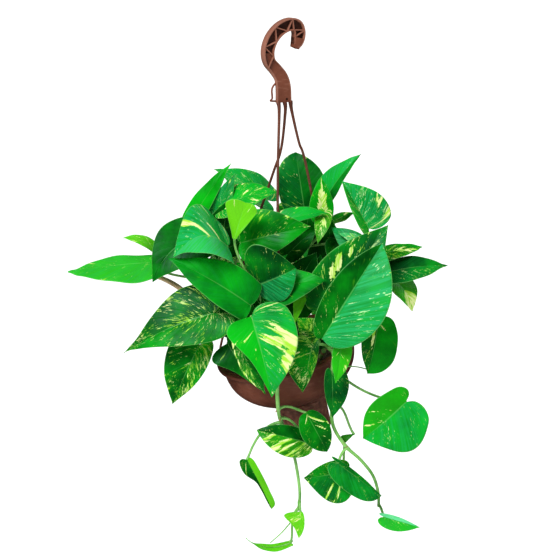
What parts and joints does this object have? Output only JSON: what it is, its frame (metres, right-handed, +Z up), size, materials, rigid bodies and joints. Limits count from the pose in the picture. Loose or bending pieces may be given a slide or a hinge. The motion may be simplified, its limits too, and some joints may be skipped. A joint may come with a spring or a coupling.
{
  "type": "hanging potted pothos plant",
  "caption": "Hanging variegated pothos: heart-shaped leaves on bushy and trailing vines in a moulded plastic bowl with a drip cup, strands and a hook that goes over a rod.",
  "frame": {"origin": "the saddle of the hook, where the inside of its curve rests on a rod", "axes": "+Z up along the line the whole thing hangs in, -Y the side the fullest leaves face, +X to the right of that side"},
  "size_m": [0.4622, 0.2787, 0.6573],
  "materials": {
    "hanger_plastic": "terracotta brown injection moulded plastic, satin",
    "terracotta_plastic": "dark reddish brown moulded plastic, satin, slightly scuffed",
    "potting_mix": "damp, crumbly peat and bark potting mix",
    "stalk_green": "smooth fresh green stem, satin",
    "leaf_green": "waxy, glossy leaf, deep green with cream and lime variegation"
  },
  "bodies": {
    "root": {"hanger": "hanger_plastic", "pot_bowl": "terracotta_plastic", "drip_cup": "terracotta_plastic", "potting_soil": "potting_mix", "vine_left": "stalk_green", "vine_front": "stalk_green", "vine_right": "stalk_green", "vine_centre": "stalk_green", "vine_back": "stalk_green", "trailing_vine_left": "stalk_green", "trailing_vine_right": "stalk_green", "leaf_front_cream": "leaf_green", "leaf_front_plain": "leaf_green", "leaf_left_speckled": "leaf_green", "leaf_left_low": "leaf_green", "leaf_left_arched": "leaf_green", "leaf_left_dark": "leaf_green", "leaf_far_left": "leaf_green", "leaf_upper_left": "leaf_green", "leaf_top_left_back": "leaf_green", "leaf_top_left_middle": "leaf_green", "leaf_young_lime": "leaf_green", "leaf_upper_centre": "leaf_green", "leaf_centre_dark": "leaf_green", "leaf_centre_point": "leaf_green", "leaf_front_narrow": "leaf_green", "leaf_front_shade": "leaf_green", "leaf_front_right_low": "leaf_green", "leaf_front_speckled": "leaf_green", "leaf_right_large": "leaf_green", "leaf_right_upper": "leaf_green", "leaf_right_standing": "leaf_green", "leaf_top_right": "leaf_green", "leaf_top_centre": "leaf_green", "leaf_cream_upright": "leaf_green", "leaf_cream_drooping": "leaf_green", "leaf_right_small": "leaf_green", "leaf_right_dark": "leaf_green", "leaf_right_curled": "leaf_green", "leaf_right_low": "leaf_green", "leaf_right_lime": "leaf_green", "leaf_right_shade": "leaf_green", "leaf_right_heart": "leaf_green", "leaf_trailing_oval": "leaf_green", "leaf_trailing_cream": "leaf_green", "leaf_trailing_rolled": "leaf_green", "leaf_trailing_lime": "leaf_green", "leaf_trailing_crescent": "leaf_green", "leaf_trailing_wing_left": "leaf_green", "leaf_trailing_wing_right": "leaf_green", "leaf_trailing_end": "leaf_green", "leaf_back_top": "leaf_green", "leaf_back_left_high": "leaf_green", "leaf_back_right_high": "leaf_green", "leaf_back_middle": "leaf_green", "leaf_back_left": "leaf_green", "leaf_back_right": "leaf_green"}
  },
  "joints": []
}
